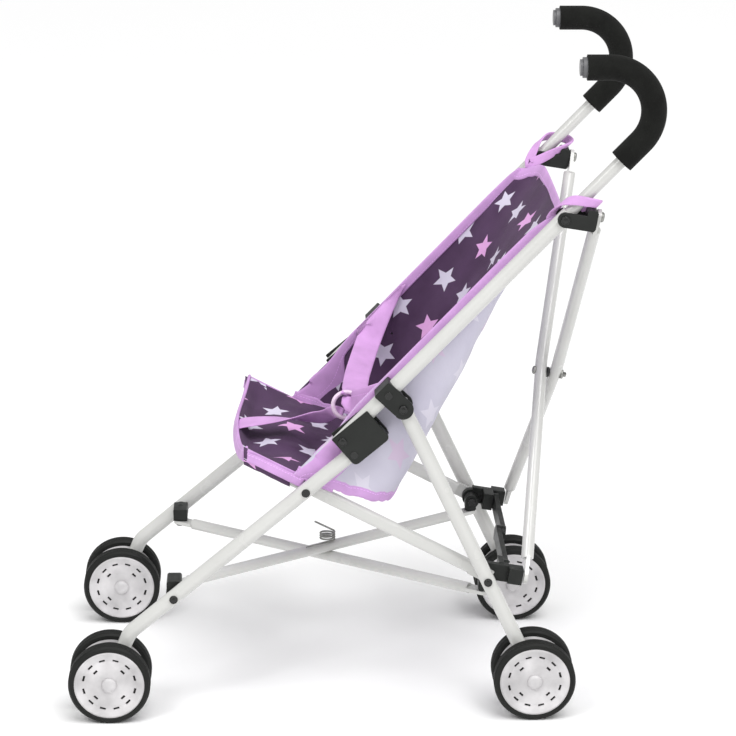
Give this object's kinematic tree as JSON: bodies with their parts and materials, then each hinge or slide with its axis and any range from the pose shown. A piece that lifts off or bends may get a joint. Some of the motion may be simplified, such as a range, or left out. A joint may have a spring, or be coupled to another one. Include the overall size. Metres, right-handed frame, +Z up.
{
  "type": "doll stroller",
  "caption": "Toy umbrella stroller: a folding tube frame on twin wheels, with a sling seat, a lap strap and two cane-shaped foam handles.",
  "frame": {"origin": "on the floor, under the centre of the open stroller's box", "axes": "+Z up, -Y to the front, +Y to the handles, +X to the stroller's own left"},
  "size_m": [0.2646, 0.4683, 0.5402],
  "materials": {
    "white_tube": "gloss",
    "foam": "matte",
    "black_plastic": "satin",
    "rivet": "satin",
    "steel": "satin",
    "tyre": "matte",
    "hub": "satin",
    "seat_cloth": "matte",
    "strap": "matte",
    "ring": "gloss"
  },
  "bodies": {
    "left_pusher": {"lower_tube_left": "white_tube", "handle_tube_left": "white_tube", "grip_left": "foam", "end_plug_left": "black_plastic", "upper_bracket_left": "black_plastic", "upper_pins_left": "rivet", "seat_back": "seat_cloth", "lap_strap": "strap", "ring": "ring"},
    "left_front_leg": {"front_leg_left": "white_tube", "knuckle_left": "black_plastic", "front_pins_left": "rivet"},
    "left_rear_leg": {"rear_leg_left": "white_tube", "rear_pins_left": "rivet"},
    "left_seat_bar": {"seat_bar_left": "white_tube", "seat_base": "seat_cloth", "crotch_strap": "strap"},
    "left_top_link": {"top_link_left": "black_plastic"},
    "left_back_bar": {"back_bar_left": "white_tube"},
    "left_foot_link": {"foot_link_left": "black_plastic"},
    "left_lock_arm": {"lock_arm_left": "black_plastic"},
    "left_heel_block": {"heel_block_left": "black_plastic"},
    "left_toe_block": {"toe_block_left": "black_plastic"},
    "left_floor_bar": {"floor_bar_left": "white_tube", "spring": "steel"},
    "right_pusher": {"lower_tube_right": "white_tube", "handle_tube_right": "white_tube", "grip_right": "foam", "end_plug_right": "black_plastic", "upper_bracket_right": "black_plastic", "upper_pins_right": "rivet"},
    "right_front_leg": {"front_leg_right": "white_tube", "knuckle_right": "black_plastic", "front_pins_right": "rivet"},
    "right_rear_leg": {"rear_leg_right": "white_tube", "rear_pins_right": "rivet"},
    "right_seat_bar": {"seat_bar_right": "white_tube"},
    "right_top_link": {"top_link_right": "black_plastic"},
    "right_back_bar": {"back_bar_right": "white_tube"},
    "right_foot_link": {"foot_link_right": "black_plastic"},
    "right_lock_arm": {"lock_arm_right": "black_plastic"},
    "right_heel_block": {"heel_block_right": "black_plastic"},
    "right_toe_block": {"toe_block_right": "black_plastic"},
    "right_floor_bar": {"floor_bar_right": "white_tube"},
    "front_left_outer_wheel": {"tyre_front_left_outer": "tyre", "hub_front_left_outer": "hub"},
    "front_left_inner_wheel": {"tyre_front_left_inner": "tyre", "hub_front_left_inner": "hub"},
    "front_right_outer_wheel": {"tyre_front_right_outer": "tyre", "hub_front_right_outer": "hub"},
    "front_right_inner_wheel": {"tyre_front_right_inner": "tyre", "hub_front_right_inner": "hub"},
    "rear_left_outer_wheel": {"tyre_rear_left_outer": "tyre", "hub_rear_left_outer": "hub"},
    "rear_left_inner_wheel": {"tyre_rear_left_inner": "tyre", "hub_rear_left_inner": "hub"},
    "rear_right_outer_wheel": {"tyre_rear_right_outer": "tyre", "hub_rear_right_outer": "hub"},
    "rear_right_inner_wheel": {"tyre_rear_right_inner": "tyre", "hub_rear_right_inner": "hub"}
  },
  "joints": [
    {"name": "fold", "type": "slide", "parent": "left_pusher", "child": "right_pusher", "axis": [1, 0, 0], "range_m": [0, 0.122], "deforming": ["seat_back", "lap_strap", "ring"]},
    {"name": "front_leg_left", "type": "hinge", "parent": "left_pusher", "child": "left_front_leg", "pos_m": [0.11, -0.01449, 0.23328], "axis": [1, 0, 0], "range_deg": [-174, 0]},
    {"name": "rear_leg_left", "type": "hinge", "parent": "left_pusher", "child": "left_rear_leg", "pos_m": [0.11, 0.03319, 0.25974], "axis": [1, 0, 0], "range_deg": [-65.08, 0]},
    {"name": "seat_bar_left", "type": "hinge", "parent": "left_rear_leg", "child": "left_seat_bar", "pos_m": [0.0993, 0.10263, 0.11349], "axis": [1, 0, 0], "range_deg": [-26.26, 0], "deforming": ["seat_base", "crotch_strap"]},
    {"name": "top_link_left", "type": "hinge", "parent": "left_pusher", "child": "left_top_link", "pos_m": [0.11, 0.15716, 0.41227], "axis": [1, 0, 0], "range_deg": [-29.16, 0]},
    {"name": "foot_link_left", "type": "hinge", "parent": "left_rear_leg", "child": "left_foot_link", "pos_m": [0.0942, 0.10263, 0.11349], "axis": [1, 0, 0], "range_deg": [0, 35.92]},
    {"name": "heel_block_left", "type": "hinge", "parent": "left_rear_leg", "child": "left_heel_block", "pos_m": [0.085, 0.10263, 0.11349], "axis": [1, 0, 0], "range_deg": [-63.11, 0]},
    {"name": "toe_block_left", "type": "hinge", "parent": "left_front_leg", "child": "left_toe_block", "pos_m": [0.1, -0.1491, 0.10067], "axis": [1, 0, 0], "range_deg": [0, 45.81]},
    {"name": "back_bar_left", "type": "hinge", "parent": "left_top_link", "child": "left_back_bar", "pos_m": [0.107, 0.18406, 0.41237], "axis": [0, 0.9865, -0.1637], "range_deg": [-20.87, 0]},
    {"name": "lock_arm_left", "type": "hinge", "parent": "left_foot_link", "child": "left_lock_arm", "pos_m": [0.083, 0.11736, 0.11437], "axis": [0, 0.9865, -0.1637], "range_deg": [0, 74.63]},
    {"name": "floor_bar_left", "type": "hinge", "parent": "left_toe_block", "child": "left_floor_bar", "pos_m": [0.089, -0.1491, 0.099], "axis": [0, 0, 1], "range_deg": [-24.94, 0], "deforming": ["spring"]},
    {"name": "front_leg_right", "type": "hinge", "parent": "right_pusher", "child": "right_front_leg", "pos_m": [-0.11, -0.01449, 0.23328], "axis": [1, 0, 0], "range_deg": [-174, 0]},
    {"name": "rear_leg_right", "type": "hinge", "parent": "right_pusher", "child": "right_rear_leg", "pos_m": [-0.11, 0.03319, 0.25974], "axis": [1, 0, 0], "range_deg": [-65.08, 0]},
    {"name": "seat_bar_right", "type": "hinge", "parent": "right_rear_leg", "child": "right_seat_bar", "pos_m": [-0.0993, 0.10263, 0.11349], "axis": [1, 0, 0], "range_deg": [-26.26, 0]},
    {"name": "top_link_right", "type": "hinge", "parent": "right_pusher", "child": "right_top_link", "pos_m": [-0.11, 0.15716, 0.41227], "axis": [1, 0, 0], "range_deg": [-29.16, 0]},
    {"name": "foot_link_right", "type": "hinge", "parent": "right_rear_leg", "child": "right_foot_link", "pos_m": [-0.0942, 0.10263, 0.11349], "axis": [1, 0, 0], "range_deg": [0, 35.92]},
    {"name": "heel_block_right", "type": "hinge", "parent": "right_rear_leg", "child": "right_heel_block", "pos_m": [-0.085, 0.10263, 0.11349], "axis": [1, 0, 0], "range_deg": [-63.11, 0]},
    {"name": "toe_block_right", "type": "hinge", "parent": "right_front_leg", "child": "right_toe_block", "pos_m": [-0.1, -0.1491, 0.10067], "axis": [1, 0, 0], "range_deg": [0, 45.81]},
    {"name": "back_bar_right", "type": "hinge", "parent": "right_top_link", "child": "right_back_bar", "pos_m": [-0.107, 0.18406, 0.41237], "axis": [0, 0.9865, -0.1637], "range_deg": [0, 20.87]},
    {"name": "lock_arm_right", "type": "hinge", "parent": "right_foot_link", "child": "right_lock_arm", "pos_m": [-0.083, 0.11736, 0.11437], "axis": [0, 0.9865, -0.1637], "range_deg": [-74.63, 0]},
    {"name": "floor_bar_right", "type": "hinge", "parent": "right_toe_block", "child": "right_floor_bar", "pos_m": [-0.089, -0.1491, 0.099], "axis": [0, 0, 1], "range_deg": [0, 24.94]},
    {"name": "wheel_front_left_outer", "type": "hinge", "parent": "left_front_leg", "child": "front_left_outer_wheel", "pos_m": [0.1242, -0.20115, 0.033], "axis": [1, 0, 0], "continuous": true},
    {"name": "wheel_front_left_inner", "type": "hinge", "parent": "left_front_leg", "child": "front_left_inner_wheel", "pos_m": [0.0958, -0.20115, 0.033], "axis": [1, 0, 0], "continuous": true},
    {"name": "wheel_front_right_outer", "type": "hinge", "parent": "right_front_leg", "child": "front_right_outer_wheel", "pos_m": [-0.1242, -0.20115, 0.033], "axis": [1, 0, 0], "continuous": true},
    {"name": "wheel_front_right_inner", "type": "hinge", "parent": "right_front_leg", "child": "front_right_inner_wheel", "pos_m": [-0.0958, -0.20115, 0.033], "axis": [1, 0, 0], "continuous": true},
    {"name": "wheel_rear_left_outer", "type": "hinge", "parent": "left_rear_leg", "child": "rear_left_outer_wheel", "pos_m": [0.1242, 0.14085, 0.033], "axis": [1, 0, 0], "continuous": true},
    {"name": "wheel_rear_left_inner", "type": "hinge", "parent": "left_rear_leg", "child": "rear_left_inner_wheel", "pos_m": [0.0958, 0.14085, 0.033], "axis": [1, 0, 0], "continuous": true},
    {"name": "wheel_rear_right_outer", "type": "hinge", "parent": "right_rear_leg", "child": "rear_right_outer_wheel", "pos_m": [-0.1242, 0.14085, 0.033], "axis": [1, 0, 0], "continuous": true},
    {"name": "wheel_rear_right_inner", "type": "hinge", "parent": "right_rear_leg", "child": "rear_right_inner_wheel", "pos_m": [-0.0958, 0.14085, 0.033], "axis": [1, 0, 0], "continuous": true}
  ],
  "couplings": [
    {"joint": "front_leg_left", "follows": "fold", "rad_per_m": -24.892},
    {"joint": "rear_leg_left", "follows": "fold", "rad_per_m": -9.3107},
    {"joint": "seat_bar_left", "follows": "fold", "rad_per_m": -3.7563},
    {"joint": "top_link_left", "follows": "fold", "rad_per_m": -4.1719},
    {"joint": "foot_link_left", "follows": "fold", "rad_per_m": 5.1388},
    {"joint": "heel_block_left", "follows": "fold", "rad_per_m": -9.0281},
    {"joint": "toe_block_left", "follows": "fold", "rad_per_m": 6.5535},
    {"joint": "back_bar_left", "follows": "fold", "rad_per_m": -2.9855},
    {"joint": "lock_arm_left", "follows": "fold", "rad_per_m": 10.676},
    {"joint": "floor_bar_left", "follows": "fold", "rad_per_m": -3.568},
    {"joint": "front_leg_right", "follows": "fold", "rad_per_m": -24.892},
    {"joint": "rear_leg_right", "follows": "fold", "rad_per_m": -9.3107},
    {"joint": "seat_bar_right", "follows": "fold", "rad_per_m": -3.7563},
    {"joint": "top_link_right", "follows": "fold", "rad_per_m": -4.1719},
    {"joint": "foot_link_right", "follows": "fold", "rad_per_m": 5.1388},
    {"joint": "heel_block_right", "follows": "fold", "rad_per_m": -9.0281},
    {"joint": "toe_block_right", "follows": "fold", "rad_per_m": 6.5535},
    {"joint": "back_bar_right", "follows": "fold", "rad_per_m": 2.9855},
    {"joint": "lock_arm_right", "follows": "fold", "rad_per_m": -10.676},
    {"joint": "floor_bar_right", "follows": "fold", "rad_per_m": 3.568}
  ]
}
